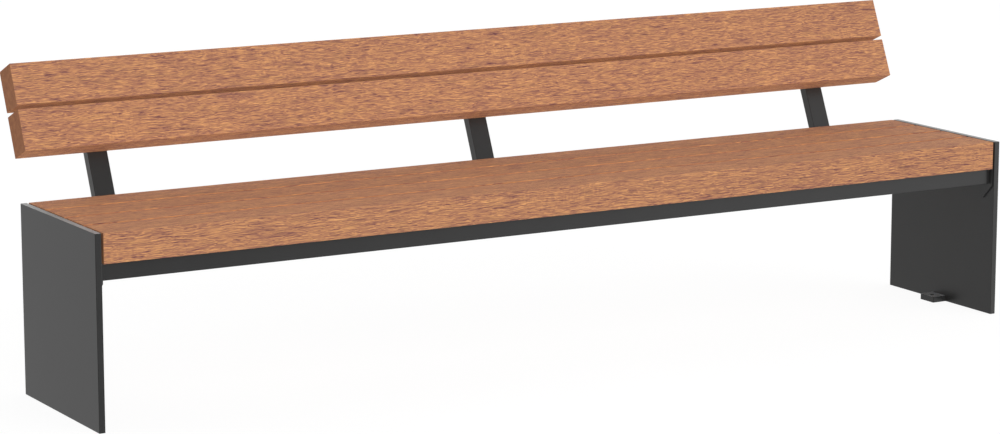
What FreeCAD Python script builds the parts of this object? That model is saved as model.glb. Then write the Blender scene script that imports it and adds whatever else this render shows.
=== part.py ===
import FreeCAD, Part
import math
import os

# Street bench with a low leaning backrest: a welded steel seat frame bolted
# between two plain steel end panels, four seat planks and two backrest planks.
#
# Frame: millimetres. X runs along the bench, Y from its front to its back and
# Z up. The origin is on the floor, midway between the two floor-anchor holes.

# ---- overall sizes ---------------------------------------------------------
LENGTH = 2500.0            # outer face to outer face of the end panels
DEPTH = 430.0              # end panel, front to back
SEAT_HEIGHT = 450.0        # floor to sitting surface, also the panel height
PANEL_T = 15.0
PANEL_EDGE_R = 1.0
PANEL_IN = LENGTH / 2 - PANEL_T

# ---- planks ----------------------------------------------------------------
PLANK_W = 100.0
PLANK_T = 70.0
PLANK_GAP = 10.0
PLANK_LENGTH = 2460.0
PLANK_EDGE_R = 1.2
SEAT_PLANKS = 4
PLANK_BOTTOM = SEAT_HEIGHT - PLANK_T

# ---- seat frame ------------------------------------------------------------
RAIL_W = 60.0              # front to back
RAIL_H = 40.0
RAIL_WALL = 3.0
RAIL_R = 1.5
RAIL_SETBACK = 15.0        # rail face behind the front plank's face
RAIL_FRONT = -DEPTH / 2 + RAIL_SETBACK
RAIL_BOTTOM = PLANK_BOTTOM - RAIL_H

BEARER_W = 50.0            # channel, open underneath
BEARER_T = 4.0
BEARER_R = 4.0
POST_PITCH = 1025.0        # middle post to outer post, also the bearer pitch
STATIONS = {"left": -POST_PITCH, "centre": 0.0, "right": POST_PITCH}

END_PLATE_T = 4.0
END_PLATE_DEPTH = 420.0
END_PLATE_TOP = PLANK_BOTTOM - 2.0
END_PLATE_BOTTOM = 300.0
END_PLATE_CHAMFER = 35.0
END_PLATE_IN = PANEL_IN - END_PLATE_T

# ---- floor lugs ------------------------------------------------------------
LUG_REACH = 40.0           # from the panel towards the middle of the bench
LUG_WIDTH = 55.0
LUG_T = 15.0
ANCHOR_HOLE_D = 12.0
ANCHOR_FROM_PANEL = 22.5

# ---- backrest --------------------------------------------------------------
LEAN = math.radians(23.6)  # from the vertical, towards the back
BACK_PLANE_Y = 250.3       # front of the posts at sitting height
BACK_START = 99.0          # sitting height to the lower plank, along the post
POST_W = 50.0
POST_T = 25.0
POST_WALL = 3.0
POST_R = 1.2
POST_TOP = 300.0           # along the post, from sitting height
CAP_T = 3.0
CAP_PLUG = 10.0
CAP_CLEAR = 0.2
FOOT_T = 15.0
FOOT_FRONT = RAIL_FRONT * -1 - RAIL_W
FOOT_BACK = 236.0

# ---- fasteners -------------------------------------------------------------
SCREW_D = 8.0
SCREW_HEAD_AF = 13.0
SCREW_HEAD_H = 5.3
SCREW_WASHER_D = 16.0
SCREW_WASHER_T = 1.6
SCREW_HOLE_D = 9.0         # through steel
SCREW_PILOT_D = 8.2        # in the wood
ACCESS_HOLE_D = 22.0
SEAT_SCREW_L = 55.0
BACK_SCREW_L = 80.0
RAIL_SCREW_X = (-1150.0, -700.0, -250.0, 250.0, 700.0, 1150.0)
BEARER_SCREW_DY = 25.0     # either side of a plank's middle
BACK_SCREW_DS = 22.0

BOLT_D = 10.0
BOLT_HEAD_AF = 17.0
BOLT_HEAD_H = 6.4
BOLT_WASHER_D = 20.0
BOLT_WASHER_T = 2.0
BOLT_HOLE_D = 11.0
BOLT_TAPPED_D = 10.4
PANEL_BOLT_L = 16.0
PANEL_HOLE_DEPTH = 12.0
PANEL_BOLT_Z = 345.0
PANEL_BOLT_Y = (-110.0, -45.0, 45.0, 110.0)
FOOT_BOLT_L = 30.0
FOOT_BOLT_DY = 15.0        # either side of the rear rail's middle
WELD_NUT_H = 8.0

X_AXIS = FreeCAD.Vector(1, 0, 0)
Z_AXIS = FreeCAD.Vector(0, 0, 1)
UP_POST = FreeCAD.Vector(0, math.sin(LEAN), math.cos(LEAN))
BEHIND_POST = FreeCAD.Vector(0, math.cos(LEAN), -math.sin(LEAN))


def vec(x, y, z):
    return FreeCAD.Vector(x, y, z)


def block(x0, x1, y0, y1, z0, z1):
    """A box between two corners."""
    return Part.makeBox(x1 - x0, y1 - y0, z1 - z0, vec(x0, y0, z0))


def eased(solid, radius):
    """The same solid with every edge rounded."""
    return solid.makeFillet(radius, solid.Edges)


def edges_along(solid, axis):
    """The straight edges of a solid that run along one axis."""
    found = []
    for edge in solid.Edges:
        run = edge.lastVertex().Point.sub(edge.firstVertex().Point)
        if run.Length > 0 and abs(abs(run.dot(axis)) - run.Length) < 1e-6:
            found.append(edge)
    return found


def tube_x(x0, x1, y0, y1, z0, z1, wall, radius):
    """A rectangular hollow section along X."""
    outer = block(x0, x1, y0, y1, z0, z1)
    outer = outer.makeFillet(radius, edges_along(outer, X_AXIS))
    inner = block(x0 - 1, x1 + 1, y0 + wall, y1 - wall, z0 + wall, z1 - wall)
    inner = inner.makeFillet(max(radius - wall, 0.5), edges_along(inner, X_AXIS))
    return outer.cut(inner)


def rod(diameter, start, direction, length):
    return Part.makeCylinder(diameter / 2, length, start, direction)


def on_post(solid, x):
    """Move a solid drawn with the post standing upright to its leaning place.

    Upright, the post's front face lies on Y = 0 and sitting height is Z = 0.
    """
    moved = solid.copy()
    moved.rotate(vec(0, 0, 0), X_AXIS, -math.degrees(LEAN))
    moved.translate(vec(x, BACK_PLANE_Y, SEAT_HEIGHT))
    return moved


def hex_prism(across_flats, height):
    """A hexagon standing on Z = 0, one flat facing +Y."""
    corner = across_flats / math.sqrt(3)
    points = []
    for i in range(7):
        angle = math.radians(60 * i)
        points.append(vec(corner * math.cos(angle), corner * math.sin(angle), 0))
    return Part.Face(Part.makePolygon(points)).extrude(vec(0, 0, height))


def hex_screw(diameter, head_af, head_h, length):
    """Shank along +Z from the head's seat at Z = 0, head below it."""
    head = hex_prism(head_af, head_h)
    dome = Part.makeCone(head_af / 2, head_af / 2 + head_h, head_h)
    head = head.common(dome)
    head.translate(vec(0, 0, -head_h))
    shank = rod(diameter, vec(0, 0, 0), Z_AXIS, length)
    tip = 0.15 * diameter
    shank = shank.makeChamfer(tip, [shank.Edges[0]])
    return head.fuse(shank).removeSplitter()


def washer(outer_d, inner_d, thick):
    """A flat ring standing on Z = 0."""
    ring = rod(outer_d, vec(0, 0, 0), Z_AXIS, thick)
    return ring.cut(rod(inner_d, vec(0, 0, -1), Z_AXIS, thick + 2))


def turned(solid, direction, place):
    """Point a solid's +Z along a direction and move it into place."""
    moved = solid.copy()
    turn = FreeCAD.Rotation(Z_AXIS, direction)
    moved.Placement = FreeCAD.Placement(place, turn)
    return moved


# ---- where things are fastened --------------------------------------------
def plank_front(index):
    """Front edge of a seat plank, counted from the front of the bench."""
    return -DEPTH / 2 + index * (PLANK_W + PLANK_GAP)


def rail_fronts():
    return {"front": RAIL_FRONT, "rear": -RAIL_FRONT - RAIL_W}


def rail_screw_places():
    """Seat screws that pass up through the top wall of a rail."""
    places = []
    for front in rail_fronts().values():
        for x in RAIL_SCREW_X:
            places.append(vec(x, front + RAIL_W / 2, PLANK_BOTTOM - RAIL_WALL))
    return places


def bearer_screw_places():
    """Seat screws that pass up through the top of a bearer."""
    places = []
    for x in STATIONS.values():
        for index in (1, 2):
            middle = plank_front(index) + PLANK_W / 2
            for side in (-1, 1):
                y = middle + side * BEARER_SCREW_DY
                places.append(vec(x, y, PLANK_BOTTOM - BEARER_T))
    return places


def back_screw_heights():
    """Screw heights along the post: two in each backrest plank."""
    heights = []
    for index in (0, 1):
        middle = BACK_START + index * (PLANK_W + PLANK_GAP) + PLANK_W / 2
        heights.append(middle - BACK_SCREW_DS)
        heights.append(middle + BACK_SCREW_DS)
    return heights


def foot_bolt_places():
    """Bolts that pass up through a post foot into the rear rail."""
    middle = rail_fronts()["rear"] + RAIL_W / 2
    places = []
    for x in STATIONS.values():
        for side in (-1, 1):
            places.append(vec(x, middle + side * FOOT_BOLT_DY, RAIL_BOTTOM))
    return places


# ---- end panels ------------------------------------------------------------
def end_panel(side):
    inner = PANEL_IN
    outer = LENGTH / 2
    x0 = inner if side > 0 else -outer
    panel = block(x0, x0 + PANEL_T, -DEPTH / 2, DEPTH / 2, 0, SEAT_HEIGHT)
    panel = eased(panel, PANEL_EDGE_R)
    for y in PANEL_BOLT_Y:
        start = vec(side * (inner - 1), y, PANEL_BOLT_Z)
        panel = panel.cut(rod(BOLT_TAPPED_D, start, X_AXIS * side, PANEL_HOLE_DEPTH + 1))
    return panel


def floor_lug(side):
    near = side * (PANEL_IN - LUG_REACH)
    far = side * PANEL_IN
    x0 = min(near, far)
    lug = block(x0, x0 + LUG_REACH, -LUG_WIDTH / 2, LUG_WIDTH / 2, 0, LUG_T)
    corners = []
    for edge in edges_along(lug, Z_AXIS):
        if abs(edge.CenterOfMass.x - near) < 1e-6:
            corners.append(edge)
    lug = lug.makeFillet(1.5, corners)
    hole = vec(side * (PANEL_IN - ANCHOR_FROM_PANEL), 0, -1)
    return lug.cut(rod(ANCHOR_HOLE_D, hole, Z_AXIS, LUG_T + 2))


def end_plate(side):
    """Plate welded to the rail ends, its lower corners cut off at 45 degrees."""
    half = END_PLATE_DEPTH / 2
    low = END_PLATE_BOTTOM
    cut = END_PLATE_CHAMFER
    outline = [
        (-half, low + cut),
        (-half + cut, low),
        (half - cut, low),
        (half, low + cut),
        (half, END_PLATE_TOP),
        (-half, END_PLATE_TOP),
        (-half, low + cut),
    ]
    x = END_PLATE_IN if side > 0 else -PANEL_IN
    wire = Part.makePolygon([vec(x, y, z) for y, z in outline])
    plate = Part.Face(wire).extrude(vec(END_PLATE_T, 0, 0))
    for y in PANEL_BOLT_Y:
        start = vec(x - 1, y, PANEL_BOLT_Z)
        plate = plate.cut(rod(BOLT_HOLE_D, start, X_AXIS, END_PLATE_T + 2))
    return plate


# ---- seat frame ------------------------------------------------------------
def rail(name):
    front = rail_fronts()[name]
    tube = tube_x(-END_PLATE_IN, END_PLATE_IN, front, front + RAIL_W,
                  RAIL_BOTTOM, PLANK_BOTTOM, RAIL_WALL, RAIL_R)
    middle = front + RAIL_W / 2
    for x in RAIL_SCREW_X:
        top_hole = vec(x, middle, PLANK_BOTTOM - RAIL_H / 2)
        access = vec(x, middle, RAIL_BOTTOM - 1)
        tube = tube.cut(rod(SCREW_HOLE_D, top_hole, Z_AXIS, RAIL_H))
        tube = tube.cut(rod(ACCESS_HOLE_D, access, Z_AXIS, RAIL_WALL + 2))
    if name == "rear":
        for place in foot_bolt_places():
            start = place - Z_AXIS
            tube = tube.cut(rod(BOLT_HOLE_D, start, Z_AXIS, RAIL_WALL + 2))
    return tube


def bearer(x):
    """Channel across the frame, welded between the rails, open underneath."""
    y0 = RAIL_FRONT + RAIL_W
    x0 = x - BEARER_W / 2
    outer = block(x0, x0 + BEARER_W, y0, -y0, RAIL_BOTTOM, PLANK_BOTTOM)
    top_edges = []
    for edge in edges_along(outer, vec(0, 1, 0)):
        if abs(edge.CenterOfMass.z - PLANK_BOTTOM) < 1e-6:
            top_edges.append(edge)
    outer = outer.makeFillet(BEARER_R, top_edges)
    hollow = block(x0 + BEARER_T, x0 + BEARER_W - BEARER_T, y0 - 1, -y0 + 1,
                   RAIL_BOTTOM - 1, PLANK_BOTTOM - BEARER_T)
    channel = outer.cut(hollow)
    for place in bearer_screw_places():
        if abs(place.x - x) < 1e-6:
            start = place - Z_AXIS
            channel = channel.cut(rod(SCREW_HOLE_D, start, Z_AXIS, BEARER_T + 2))
    return channel


# ---- backrest supports -----------------------------------------------------
def post_foot(x):
    """Flat bar under the rear rail that carries the foot of a post."""
    foot = block(x - POST_W / 2, x + POST_W / 2, FOOT_FRONT, FOOT_BACK,
                 RAIL_BOTTOM - FOOT_T, RAIL_BOTTOM)
    corners = []
    for edge in edges_along(foot, Z_AXIS):
        if abs(edge.CenterOfMass.y - FOOT_BACK) < 1e-6:
            corners.append(edge)
    foot = foot.makeFillet(4.0, corners)
    for place in foot_bolt_places():
        if abs(place.x - x) < 1e-6:
            start = place - Z_AXIS * (FOOT_T + 1)
            foot = foot.cut(rod(BOLT_HOLE_D, start, Z_AXIS, FOOT_T + 2))
    return foot


def post(x):
    """Rectangular tube, leaning back, its lower end cut level on the foot."""
    reach = 200.0
    outer = block(-POST_W / 2, POST_W / 2, 0, POST_T, -reach, POST_TOP)
    outer = outer.makeFillet(POST_R, edges_along(outer, Z_AXIS))
    inner = block(-POST_W / 2 + POST_WALL, POST_W / 2 - POST_WALL,
                  POST_WALL, POST_T - POST_WALL, -reach - 1, POST_TOP + 1)
    tube = outer.cut(inner)
    for height in back_screw_heights():
        start = vec(0, -1, height)
        tube = tube.cut(rod(SCREW_HOLE_D, start, vec(0, 1, 0), POST_T + 2))
    tube = on_post(tube, x)
    below = block(x - 100, x + 100, 0, 400, RAIL_BOTTOM - 300, RAIL_BOTTOM)
    return tube.cut(below)


def post_cap(x):
    """Push-in cap that closes the upper end of a post."""
    lid = block(-POST_W / 2, POST_W / 2, 0, POST_T, POST_TOP, POST_TOP + CAP_T)
    lid = lid.makeFillet(POST_R, edges_along(lid, Z_AXIS))
    top = []
    for edge in lid.Edges:
        if abs(edge.BoundBox.ZMin - (POST_TOP + CAP_T)) < 1e-6:
            top.append(edge)
    lid = lid.makeFillet(0.8, top)
    inset = POST_WALL + CAP_CLEAR
    plug = block(-POST_W / 2 + inset, POST_W / 2 - inset, inset, POST_T - inset,
                 POST_TOP - CAP_PLUG, POST_TOP)
    return on_post(lid.fuse(plug).removeSplitter(), x)


# ---- planks ----------------------------------------------------------------
def seat_plank(index):
    y0 = plank_front(index)
    plank = block(-PLANK_LENGTH / 2, PLANK_LENGTH / 2, y0, y0 + PLANK_W,
                  PLANK_BOTTOM, SEAT_HEIGHT)
    plank = eased(plank, PLANK_EDGE_R)
    depth = SEAT_SCREW_L - SCREW_WASHER_T
    for place in rail_screw_places() + bearer_screw_places():
        if y0 < place.y < y0 + PLANK_W:
            plank = plank.cut(rod(SCREW_PILOT_D, place, Z_AXIS, depth))
    return plank


def back_plank(index):
    z0 = BACK_START + index * (PLANK_W + PLANK_GAP)
    plank = block(-PLANK_LENGTH / 2, PLANK_LENGTH / 2, -PLANK_T, 0, z0, z0 + PLANK_W)
    plank = eased(plank, PLANK_EDGE_R)
    depth = BACK_SCREW_L - SCREW_WASHER_T - POST_T + 2
    for x in STATIONS.values():
        for height in back_screw_heights():
            if z0 < height < z0 + PLANK_W:
                start = vec(x, 1, height)
                plank = plank.cut(rod(SCREW_PILOT_D, start, vec(0, -1, 0), depth + 1))
    return on_post(plank, 0)


# ---- fasteners -------------------------------------------------------------
def seat_fasteners():
    """Screws up into the seat planks and the washer under each head."""
    screw = hex_screw(SCREW_D, SCREW_HEAD_AF, SCREW_HEAD_H, SEAT_SCREW_L)
    ring = washer(SCREW_WASHER_D, SCREW_HOLE_D, SCREW_WASHER_T)
    screws = []
    rings = []
    for place in rail_screw_places() + bearer_screw_places():
        seat = place - Z_AXIS * SCREW_WASHER_T
        screws.append(turned(screw, Z_AXIS, seat))
        rings.append(turned(ring, Z_AXIS, seat))
    return screws, rings


def back_fasteners():
    """Screws through each post into the backrest planks, heads at the back."""
    screw = hex_screw(SCREW_D, SCREW_HEAD_AF, SCREW_HEAD_H, BACK_SCREW_L)
    ring = washer(SCREW_WASHER_D, SCREW_HOLE_D, SCREW_WASHER_T)
    forward = BEHIND_POST * -1
    screws = []
    rings = []
    for x in STATIONS.values():
        for height in back_screw_heights():
            out = POST_T + SCREW_WASHER_T
            seat = vec(x, BACK_PLANE_Y, SEAT_HEIGHT) + UP_POST * height + BEHIND_POST * out
            screws.append(turned(screw, forward, seat))
            rings.append(turned(ring, forward, seat))
    return screws, rings


def panel_fasteners():
    """Screws from inside, through the end plates into the end panels."""
    screw = hex_screw(BOLT_D, BOLT_HEAD_AF, BOLT_HEAD_H, PANEL_BOLT_L)
    ring = washer(BOLT_WASHER_D, BOLT_HOLE_D, BOLT_WASHER_T)
    screws = []
    rings = []
    for side in (-1, 1):
        for y in PANEL_BOLT_Y:
            seat = vec(side * (END_PLATE_IN - BOLT_WASHER_T), y, PANEL_BOLT_Z)
            screws.append(turned(screw, X_AXIS * side, seat))
            rings.append(turned(ring, X_AXIS * side, seat))
    return screws, rings


def foot_fasteners():
    """Bolts up through the post feet, their washers and the rail's weld nuts."""
    bolt = hex_screw(BOLT_D, BOLT_HEAD_AF, BOLT_HEAD_H, FOOT_BOLT_L)
    ring = washer(BOLT_WASHER_D, BOLT_HOLE_D, BOLT_WASHER_T)
    nut = hex_prism(BOLT_HEAD_AF, WELD_NUT_H)
    nut = nut.cut(rod(BOLT_TAPPED_D, vec(0, 0, -1), Z_AXIS, WELD_NUT_H + 2))
    bolts = []
    rings = []
    nuts = []
    for place in foot_bolt_places():
        seat = place - Z_AXIS * (FOOT_T + BOLT_WASHER_T)
        bolts.append(turned(bolt, Z_AXIS, seat))
        rings.append(turned(ring, Z_AXIS, seat))
        nuts.append(turned(nut, Z_AXIS, place + Z_AXIS * RAIL_WALL))
    return bolts, rings, nuts


def build():
    """Every node of the bench, by name."""
    nodes = {}
    for name, side in (("left", -1), ("right", 1)):
        nodes[name + "_end_panel"] = end_panel(side)
        nodes[name + "_floor_lug"] = floor_lug(side)
        nodes[name + "_end_plate"] = end_plate(side)
    nodes["front_rail"] = rail("front")
    nodes["rear_rail"] = rail("rear")
    for name, x in STATIONS.items():
        nodes[name + "_bearer"] = bearer(x)
        nodes[name + "_post_foot"] = post_foot(x)
        nodes[name + "_post"] = post(x)
    nodes["post_caps"] = Part.makeCompound([post_cap(x) for x in STATIONS.values()])
    for index in range(SEAT_PLANKS):
        nodes["seat_plank_" + str(index + 1)] = seat_plank(index)
    nodes["back_plank_lower"] = back_plank(0)
    nodes["back_plank_upper"] = back_plank(1)

    screws, rings = seat_fasteners()
    nodes["seat_screws"] = Part.makeCompound(screws)
    nodes["seat_washers"] = Part.makeCompound(rings)
    screws, rings = back_fasteners()
    nodes["back_screws"] = Part.makeCompound(screws)
    nodes["back_washers"] = Part.makeCompound(rings)
    screws, rings = panel_fasteners()
    nodes["panel_screws"] = Part.makeCompound(screws)
    nodes["panel_washers"] = Part.makeCompound(rings)
    bolts, rings, nuts = foot_fasteners()
    nodes["foot_bolts"] = Part.makeCompound(bolts)
    nodes["foot_washers"] = Part.makeCompound(rings)
    nodes["foot_weld_nuts"] = Part.makeCompound(nuts)
    return nodes


os.makedirs("parts", exist_ok=True)
for node, shape in build().items():
    shape.exportStep("parts/" + node + ".step")
    box = shape.BoundBox
    print(node, len(shape.Solids), "solids", shape.isValid(), round(shape.Volume / 1000, 1), "cm3",
          [round(v, 2) for v in (box.XMin, box.YMin, box.ZMin, box.XMax, box.YMax, box.ZMax)])
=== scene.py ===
"""Looks of the street bench: coated steel frame, hardwood planks, stainless fasteners.

Runs in Blender 4.5, in metres, in the CAD frame: X right, Y back, Z up, floor at Z = 0.
"""

import math

import bpy
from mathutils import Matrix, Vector


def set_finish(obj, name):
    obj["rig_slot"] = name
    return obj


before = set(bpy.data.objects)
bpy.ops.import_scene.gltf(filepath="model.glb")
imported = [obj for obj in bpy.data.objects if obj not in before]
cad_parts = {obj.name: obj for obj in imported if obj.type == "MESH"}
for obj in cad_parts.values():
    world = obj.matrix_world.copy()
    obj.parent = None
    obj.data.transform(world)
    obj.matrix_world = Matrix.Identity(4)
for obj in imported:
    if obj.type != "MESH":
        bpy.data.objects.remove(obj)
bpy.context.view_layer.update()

LEAN = math.radians(23.6)
UP_BACKREST = Vector((0, math.sin(LEAN), math.cos(LEAN)))
FORWARD, BACKWARD = Vector((0, -1, 0)), Vector((0, 1, 0))
# Each plank, with the directions in which its faces look into a gap.
PLANK_GAPS = {
    "seat_plank_1": (BACKWARD,),
    "seat_plank_2": (FORWARD, BACKWARD),
    "seat_plank_3": (FORWARD, BACKWARD),
    "seat_plank_4": (FORWARD,),
    "back_plank_lower": (UP_BACKREST,),
    "back_plank_upper": (-UP_BACKREST,),
}
STAINLESS_NODES = (
    "seat_screws",
    "seat_washers",
    "back_screws",
    "back_washers",
    "panel_screws",
    "panel_washers",
    "foot_bolts",
    "foot_washers",
)

X, Z = 0, 2
MIX_INPUTS, MIX_OUTPUT = (0, 6, 7), 2  # the Mix node's sockets for factor and colours
NOISE_LOW, NOISE_HIGH = 0.3, 0.7  # a noise mostly stays between these


def linear(red, green, blue):
    """A display colour of 0 to 255 as Blender's linear RGBA."""

    def one(value):
        value /= 255
        return value / 12.92 if value <= 0.04045 else ((value + 0.055) / 1.055) ** 2.4

    return (one(red), one(green), one(blue), 1.0)


def grey(value):
    """A linear grey as RGBA."""
    return (value, value, value, 1.0)


class Nodes:
    """Adds shader nodes to a tree. An input is a number, a tuple or another node's output."""

    def __init__(self, tree):
        self.tree = tree

    def feed(self, socket, value):
        if isinstance(value, bpy.types.NodeSocket):
            self.tree.links.new(value, socket)
        else:
            socket.default_value = value

    def node(self, kind, inputs=None, **settings):
        made = self.tree.nodes.new("ShaderNode" + kind)
        for name, value in settings.items():
            setattr(made, name, value)
        for name, value in (inputs or {}).items():
            self.feed(made.inputs[name], value)
        return made

    def math(self, operation, a, b=0.0, c=0.0):
        return self.node("Math", {0: a, 1: b, 2: c}, operation=operation).outputs[0]

    def dot(self, vector, direction):
        """How far a vector reaches along a direction."""
        inputs = {0: vector, 1: direction}
        made = self.node("VectorMath", inputs, operation="DOT_PRODUCT")
        return made.outputs["Value"]

    def fit(self, value, low, high, to_low=0.0, to_high=1.0, smooth=False):
        """Maps low..high to to_low..to_high, held at the ends."""
        inputs = {
            "Value": value,
            "From Min": low,
            "From Max": high,
            "To Min": to_low,
            "To Max": to_high,
        }
        kind = "SMOOTHSTEP" if smooth else "LINEAR"
        return self.node("MapRange", inputs, interpolation_type=kind).outputs["Result"]


class Shader(Nodes):
    """Builds one material. place is the point in the CAD frame, facing is the face's normal."""

    def __init__(self, name):
        self.material = bpy.data.materials.new(name)
        self.material.use_nodes = True
        super().__init__(self.material.node_tree)
        self.tree.nodes.clear()
        coordinates = self.node("TexCoord")
        self.place = coordinates.outputs["Object"]
        self.facing = coordinates.outputs["Normal"]

    def stretched(self, vector, scale, shift=(0, 0, 0)):
        """The coordinates times a scale per axis, plus a shift."""
        inputs = {"Vector": vector, "Scale": scale, "Location": shift}
        return self.node("Mapping", inputs).outputs["Vector"]

    def noise(self, vector, detail, roughness=0.5, scale=1.0, output="Fac"):
        inputs = {
            "Vector": vector,
            "Scale": scale,
            "Detail": detail,
            "Roughness": roughness,
        }
        return self.node("TexNoise", inputs).outputs[output]

    def vector(self, operation, a, b):
        return self.node("VectorMath", {0: a, 1: b}, operation=operation).outputs[0]

    def along(self, vector, axis):
        """One coordinate of a vector."""
        return self.node("SeparateXYZ", {0: vector}).outputs[axis]

    def mix(self, factor, a, b, blend="MIX"):
        made = self.node("Mix", data_type="RGBA", blend_type=blend)
        for number, value in zip(MIX_INPUTS, (factor, a, b)):
            self.feed(made.inputs[number], value)
        return made.outputs[MIX_OUTPUT]

    def ramp(self, factor, stops):
        """stops: (place, linear colour) pairs."""
        made = self.node("ValToRGB", {"Fac": factor})
        elements = made.color_ramp.elements
        while len(elements) < len(stops):
            elements.new(0.5)
        for element, (place, colour) in zip(elements, stops):
            element.position = place
            element.color = colour
        return made.outputs["Color"]

    def between(self, factor, dark, light, low=NOISE_LOW, high=NOISE_HIGH):
        """From one linear colour to another while the factor goes from low to high."""
        return self.ramp(factor, ((low, dark), (high, light)))

    def bump(self, height, distance, strength):
        inputs = {"Height": height, "Distance": distance, "Strength": strength}
        return self.node("Bump", inputs).outputs["Normal"]

    def finish(self, **sockets):
        """The principled shader with these sockets; _ in a name stands for a space."""
        names = {name.replace("_", " "): value for name, value in sockets.items()}
        shader = self.node("BsdfPrincipled", names)
        output = self.node("OutputMaterial")
        self.tree.links.new(shader.outputs["BSDF"], output.inputs["Surface"])
        return self.material


# ---- hardwood ----

# Scales are features per metre along X, Y and Z. The grain runs along X.
WANDERS = (  # scale, detail, how far the grain is moved sideways
    ((8, 25, 25), 2.0, 0.012),
    ((36, 115, 115), 1.0, 0.0040),
)
SEAT_STREAKS, BACK_STREAKS = 21, 36  # along the grain
CROSS_STREAKS = 850  # across the grain
FLANK_WEIGHT, FLANK_SHIFT = 0.6, 2.6
FLECKS, VEINS, BANDS = (85, 1400, 1400), (11, 300, 300), (13, 90, 90)
ZONES, FIGURES, OLIVES = (5, 16, 16), (190, 45, 45), (16, 60, 60)
FLECK_WEIGHT, BAND_WEIGHT, ZONE_WEIGHT = 0.5, 0.4, 0.12
MIDDLE_TONE = 0.99  # the sum of the weighted patterns that gives the middle colour
VEIN_DEPTH = 0.22
FIGURE_STRENGTH = 0.4
OLIVE_SHARE = 0.14
WOOD_TONES = (  # from the darkest pore to the brightest flank, in even steps
    linear(112, 72, 76),
    linear(151, 104, 90),
    linear(181, 127, 96),
    linear(204, 147, 102),
    linear(229, 170, 114),
)
OLIVE_TONE = linear(172, 131, 86)
CUT_DARK, CUT_LIGHT = linear(164, 112, 86), linear(186, 130, 95)
# Painted light: these multiply the colour of faces that look into the gaps between planks,
# lifting the shade there.
SEAT_GAP_LIGHT, BACK_GAP_LIGHT = (1.12, 1.02, 0.88, 1), (1.08, 1.14, 1.12, 1)
WOOD_SHEEN = 0.03
PORE_DEPTH = 0.0003


def wood(name, shift, streak_rate, gaps, gap_light):
    """Oiled tropical hardwood, its pattern moved by shift so that no two planks match.

    gaps are the directions in which faces look into a gap; the last argument multiplies their
    colour, as painted light that lifts the shade in the gaps.
    """
    s = Shader(name)
    moved = s.stretched(s.place, (1, 1, 1), shift)
    # The fibres wander: two warps move the cross-grain coordinates before any streak.
    grain = moved
    for scale, detail, reach in WANDERS:
        wander = s.noise(s.stretched(moved, scale), detail, output="Color")
        wander = s.vector("SUBTRACT", wander, (0.5, 0.5, 0.5))
        wander = s.vector("MULTIPLY", wander, (0.0, reach, reach))
        grain = s.vector("ADD", grain, wander)

    # A streak minus the same streak moved aside: each dark line gets a bright flank.
    rates = (streak_rate, CROSS_STREAKS, CROSS_STREAKS)
    streak = s.noise(s.stretched(grain, rates), 2.0)
    streak = s.math("MULTIPLY", streak, 1.0 + 2 * FLANK_WEIGHT)
    for aside in ((0, FLANK_SHIFT, 0), (0, 0, FLANK_SHIFT)):
        flank = s.noise(s.stretched(grain, rates, aside), 2.0)
        streak = s.math("MULTIPLY_ADD", flank, -FLANK_WEIGHT, streak)
    # The shifts keep these patterns apart from each other.
    fleck = s.noise(s.stretched(grain, FLECKS, (0, 7.7, 0)), 1.0)
    vein = s.noise(s.stretched(grain, VEINS, (0, 0, 3.7)), 0.0)
    band = s.noise(s.stretched(grain, BANDS), 2.0)
    zone = s.noise(s.stretched(moved, ZONES, (3.1, 0, 0)), 1.0)
    figure = s.noise(s.stretched(moved, FIGURES, (0, 0, 9.1)), 1.0)
    olive = s.noise(s.stretched(grain, OLIVES, (0, 0, 5.3)), 1.0)

    tone = s.math("MULTIPLY_ADD", fleck, FLECK_WEIGHT, streak)
    tone = s.math("MULTIPLY_ADD", band, BAND_WEIGHT, tone)
    tone = s.math("MULTIPLY_ADD", zone, ZONE_WEIGHT, tone)
    ripple = s.fit(zone, 0.58, 0.72, 0, FIGURE_STRENGTH)
    figured = s.math("MULTIPLY", ripple, s.math("SUBTRACT", figure, 0.5))
    tone = s.math("ADD", tone, figured)
    tone = s.math("SUBTRACT", tone, MIDDLE_TONE - 0.5)
    tone = s.math("SUBTRACT", tone, s.fit(vein, 0.64, 0.74, 0, VEIN_DEPTH))
    last = len(WOOD_TONES) - 1
    colour = s.ramp(tone, [(i / last, stop) for i, stop in enumerate(WOOD_TONES)])
    colour = s.mix(s.fit(olive, 0.56, 0.7, 0, OLIVE_SHARE), colour, OLIVE_TONE)

    # Cut ends show the fibres end on, as a soft even dotting.
    end = s.fit(s.math("ABSOLUTE", s.along(s.facing, X)), 0.75, 0.95)
    dotting = s.math("MULTIPLY_ADD", band, 0.6, s.math("MULTIPLY", fleck, 0.4))
    dots = s.between(dotting, CUT_DARK, CUT_LIGHT, 0.35, 0.65)
    colour = s.mix(end, colour, dots)
    # Faces that look into a gap get a lighter colour: painted light where shade falls in the
    # gaps.
    for direction in gaps:
        gap_light_mask = s.fit(s.dot(s.facing, direction), 0.35, 0.8)
        colour = s.mix(gap_light_mask, colour, s.mix(1.0, colour, gap_light, "MULTIPLY"))

    height = s.math("MULTIPLY_ADD", fleck, 0.6, s.math("MULTIPLY", streak, 0.6))
    return s.finish(
        Base_Color=colour,
        Roughness=s.fit(streak, NOISE_LOW, NOISE_HIGH, 0.74, 0.6),
        Normal=s.bump(height, PORE_DEPTH, 0.35),
        Specular_IOR_Level=WOOD_SHEEN,
    )


# ---- metal and plastic ----

STEEL_ROUGHNESS, ROUGHNESS_SPREAD = 0.31, 0.008
COAT_DARK, COAT_LIGHT = linear(44, 44, 44), linear(47, 47, 47)
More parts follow.
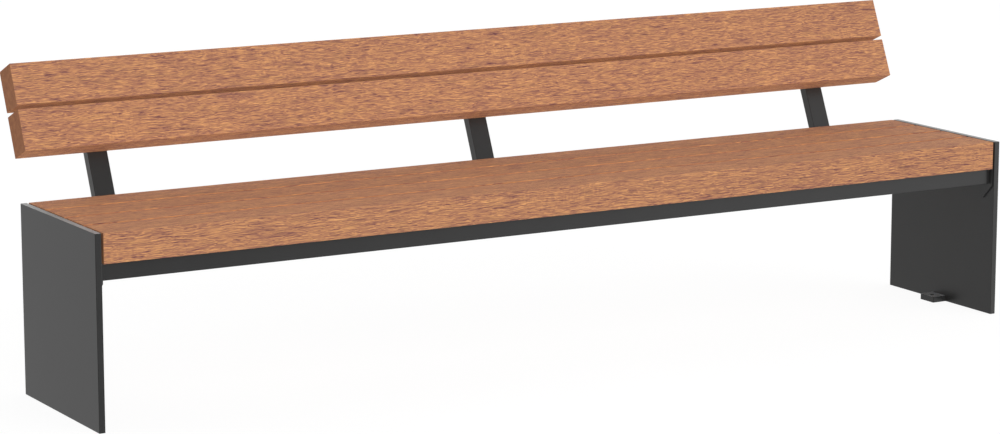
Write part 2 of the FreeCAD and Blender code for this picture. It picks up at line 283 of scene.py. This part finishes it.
# Up-facing faces: a dust colour that is also painted sheen, and a lighter grit colour that is
# also a painted highlight.
DUST_SHEEN_DARK, DUST_SHEEN_LIGHT = linear(84, 83, 81), linear(92, 91, 89)
GRIT_HIGHLIGHT_DARK, GRIT_HIGHLIGHT_LIGHT = linear(122, 124, 126), linear(134, 136, 138)
GRIT_HIGHLIGHT_TOP, DUST_SHEEN_FOOT = 0.03, 0.15  # all grit and painted highlight below the first height, all dust and painted sheen above the second
HIGHLIGHT_DRIFT_DIRECTION = (-0.1, -1.0, 0.0)  # the painted highlight of the grit grows to the front, a little left
HIGHLIGHT_DRIFT_START, HIGHLIGHT_DRIFT_FULL = 0.1, 0.32  # distances in that direction


def coated_steel(name):
    """Anthracite powder coat: a dark base under an even, slightly pebbled sheen."""
    s = Shader(name)
    cloud = s.noise(s.place, 3.0, 0.55, scale=9.0)
    speck = s.noise(s.place, 1.0, scale=900.0)
    peel = s.noise(s.place, 2.0, scale=520.0)
    mottle = s.math("MULTIPLY_ADD", speck, 0.3, s.math("MULTIPLY", cloud, 0.7))
    colour = s.between(mottle, COAT_DARK, COAT_LIGHT)

    # Faces that look up get a lighter film, partly dust and partly painted sheen; close to the
    # ground and towards the front left it is lighter grit, which is a painted highlight.
    low = s.fit(s.along(s.place, Z), GRIT_HIGHLIGHT_TOP, DUST_SHEEN_FOOT, 1, 0)
    drifted_highlight = s.fit(s.dot(s.place, HIGHLIGHT_DRIFT_DIRECTION), HIGHLIGHT_DRIFT_START, HIGHLIGHT_DRIFT_FULL)
    dust_and_sheen = s.between(speck, DUST_SHEEN_DARK, DUST_SHEEN_LIGHT)
    grit_and_highlight = s.between(speck, GRIT_HIGHLIGHT_DARK, GRIT_HIGHLIGHT_LIGHT)
    dust_sheen_film = s.mix(s.math("MAXIMUM", low, drifted_highlight), dust_and_sheen, grit_and_highlight)
    colour = s.mix(s.fit(s.along(s.facing, Z), 0.8, 0.98), colour, dust_sheen_film)

    smooth = STEEL_ROUGHNESS - ROUGHNESS_SPREAD
    rough = STEEL_ROUGHNESS + ROUGHNESS_SPREAD
    return s.finish(
        Base_Color=colour,
        Roughness=s.fit(cloud, NOISE_LOW, NOISE_HIGH, smooth, rough),
        Normal=s.bump(peel, 0.00004, 0.5),
        Specular_IOR_Level=0.5,
    )


def stainless(name):
    """Stainless steel, finely brushed."""
    s = Shader(name)
    brushed = s.noise(s.stretched(s.place, (400, 400, 2500)), 2.0, 0.6)
    return s.finish(
        Base_Color=s.between(brushed, linear(176, 177, 178), linear(208, 208, 206)),
        Metallic=1.0,
        Roughness=s.fit(brushed, NOISE_LOW, NOISE_HIGH, 0.26, 0.4),
        Normal=s.bump(brushed, 0.00003, 0.5),
    )


def zinc(name):
    """Dull zinc plating with a small spangle."""
    s = Shader(name)
    spangle = s.noise(s.place, 2.0, scale=350.0)
    return s.finish(
        Base_Color=s.between(spangle, linear(120, 122, 124), linear(160, 161, 160)),
        Metallic=1.0,
        Roughness=s.fit(spangle, NOISE_LOW, NOISE_HIGH, 0.4, 0.6),
        Normal=s.bump(spangle, 0.00004, 0.5),
    )


def black_plastic(name):
    """Matt black moulded plastic with a fine grain."""
    s = Shader(name)
    grain = s.noise(s.place, 2.0, 0.6, scale=1400.0)
    return s.finish(
        Base_Color=s.between(grain, linear(20, 20, 21), linear(30, 30, 31)),
        Roughness=s.fit(grain, NOISE_LOW, NOISE_HIGH, 0.42, 0.55),
        Normal=s.bump(grain, 0.00005, 0.6),
    )


# ---- dressing the CAD nodes ----


def dress(node, material, slot):
    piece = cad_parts[node]
    piece.data.materials.clear()
    piece.data.materials.append(material)
    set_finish(piece, slot)


for number, (node, gaps) in enumerate(PLANK_GAPS.items()):
    shift = (1.7 * number + 0.4, 0.31 * number, 0.57 * number)
    seat = node.startswith("seat")
    streak_rate = SEAT_STREAKS if seat else BACK_STREAKS
    gap_light = SEAT_GAP_LIGHT if seat else BACK_GAP_LIGHT
    planed = wood("hardwood_" + node, shift, streak_rate, gaps, gap_light)
    dress(node, planed, "hardwood")
for node in STAINLESS_NODES:
    dress(node, stainless("stainless_" + node), "stainless")
dress("foot_weld_nuts", zinc("zinc"), "bare_steel")
dress("post_caps", black_plastic("cap_plastic"), "black_plastic")
steel = coated_steel("powder_coat")
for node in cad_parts:
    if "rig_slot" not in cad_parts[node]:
        dress(node, steel, "coated_steel")

# ---- floor and backdrop ----


def glowing(name, dark, light, scale, glow):
    """A pale matt material that glows, with a cloud of two greys under the glow."""
    s = Shader(name)
    cloud = s.noise(s.place, 2.0, scale=scale)
    return s.finish(
        Base_Color=s.between(cloud, grey(dark), grey(light)),
        Roughness=0.9,
        Specular_IOR_Level=0.0,
        Emission_Color=(1, 1, 1, 1),
        Emission_Strength=glow,
    )


def set_stage(name, corners, faces, material):
    """Adds a stage surface that doesn't light the bench and isn't mirrored in it."""
    mesh = bpy.data.meshes.new(name)
    mesh.from_pydata(corners, [], faces)
    mesh.materials.append(material)
    made = bpy.data.objects.new(name, mesh)
    bpy.context.scene.collection.objects.link(made)
    made.visible_diffuse = False
    made.visible_glossy = False
    made.visible_shadow = False


# The glow and the lamps together make the floor just white, right up to the bench.
FLOOR_HALF, FLOOR_GLOW = 40.0, 0.918
SQUARE = ((-1, -1), (1, -1), (1, 1), (-1, 1))
floor_corners = [(x * FLOOR_HALF, y * FLOOR_HALF, 0.0) for x, y in SQUARE]
pale_floor = glowing("pale_floor", 0.115, 0.125, 0.8, FLOOR_GLOW)
set_stage("floor", floor_corners, [(0, 1, 2, 3)], pale_floor)

# A white wall far behind everything, so low views end in the same white as the floor.
WALL_RADIUS, WALL_SIDES = 38.0, 64
WALL_FOOT, WALL_HEIGHT = -0.02, 30.0
turns = [2 * math.pi * side / WALL_SIDES for side in range(WALL_SIDES)]
wall_corners = [
    (math.cos(turn) * WALL_RADIUS, math.sin(turn) * WALL_RADIUS, z)
    for z in (WALL_FOOT, WALL_HEIGHT)
    for turn in turns
]
wall_faces = []
for side in range(WALL_SIDES):
    beside = (side + 1) % WALL_SIDES
    wall_faces.append((side, beside, beside + WALL_SIDES, side + WALL_SIDES))
white_wall = glowing("white_wall", 0.01, 0.012, 0.3, 1.0)
set_stage("backdrop", wall_corners, wall_faces, white_wall)

# ---- light ----


def aim(azimuth, elevation):
    """A direction seen from the bench. Azimuth 0 is in front (-Y), 90 at the right (+X)."""
    a, e = math.radians(azimuth), math.radians(elevation)
    return Vector((math.sin(a) * math.cos(e), -math.cos(a) * math.cos(e), math.sin(e)))


# The room as the coated steel mirrors it: a dim studio, brighter behind the bench, with
# three soft boxes. It gives only the reflections. The lamps give the diffuse light.
ROOM_LEAST = 0.05
ROOM_GLOW, ROOM_SLOPE = 0.33, (0.17, 0.4, -0.12)
SOFT_BOXES = (  # azimuth, elevation, radius of the full glow, radius where it ends, glow
    (64.5, 0, 20, 48, 1.05),
    (168, 50, 14, 34, 4.5),
    (-60, 0, 15, 38, 0.5),
)


def room(tree):
    """Sets the world's brightness by direction."""
    n = Nodes(tree)
    toward = n.node("TexCoord").outputs["Generated"]
    total = n.math("ADD", n.dot(toward, ROOM_SLOPE), ROOM_GLOW)
    total = n.math("MAXIMUM", total, ROOM_LEAST)
    for azimuth, elevation, inner, outer, glow in SOFT_BOXES:
        off_axis = n.dot(toward, aim(azimuth, elevation))
        edge = math.cos(math.radians(outer))
        full = math.cos(math.radians(inner))
        total = n.math("ADD", total, n.fit(off_axis, edge, full, 0.0, glow, smooth=True))
    background = tree.nodes["Background"]
    n.feed(background.inputs["Color"], (1, 1, 1, 1))
    n.feed(background.inputs["Strength"], total)


world = bpy.data.worlds.new("studio")
bpy.context.scene.world = world
world.use_nodes = True
world.cycles_visibility.diffuse = False
room(world.node_tree)

LAMPS = {  # azimuth, elevation, strength, apparent size in degrees, casts shadows
    "key": (45, 20, 0.300, 50, True),
    "dome_top": (0, 90, 0.435, 180, True),
    "dome_bottom": (0, -90, 0.243, 180, True),
    "fill_front": (0, 19.5, 0.450, 60, False),
    "fill_right": (120, 19.5, 0.200, 60, False),
    "fill_left": (-120, 19.5, 0.170, 60, False),
    "fill_below": (0, -90, 0.460, 60, False),
}


def lamp(name, azimuth, elevation, strength, width, shadow):
    """A distant soft lamp that lights by scattering only."""
    light = bpy.data.lights.new(name, "SUN")
    light.energy = strength * math.pi
    light.angle = math.radians(width)
    light.use_shadow = shadow
    made = bpy.data.objects.new(name, light)
    made.rotation_mode = "QUATERNION"
    made.rotation_quaternion = aim(azimuth, elevation).to_track_quat("Z", "Y")
    made.visible_glossy = False
    bpy.context.scene.collection.objects.link(made)


for lamp_name, settings in LAMPS.items():
    lamp(lamp_name, *settings)

# ---- camera ----

# It stands left of the middle and looks to the right and down.
CAMERA_PLACE = (-4.0322, -6.7793, 1.8078)
LOOK_RIGHT, LOOK_DOWN = 30.1, 10.57  # degrees
camera_data = bpy.data.cameras.new("camera")
camera_data.sensor_width = 36.0
camera_data.lens = 118.73
camera_data.clip_start, camera_data.clip_end = 0.1, 200.0
camera = bpy.data.objects.new("camera", camera_data)
camera.location = CAMERA_PLACE
camera.rotation_euler = (math.radians(90 - LOOK_DOWN), 0.0, math.radians(-LOOK_RIGHT))
bpy.context.scene.collection.objects.link(camera)
bpy.context.scene.camera = camera
bpy.context.scene.view_settings.view_transform = "Standard"
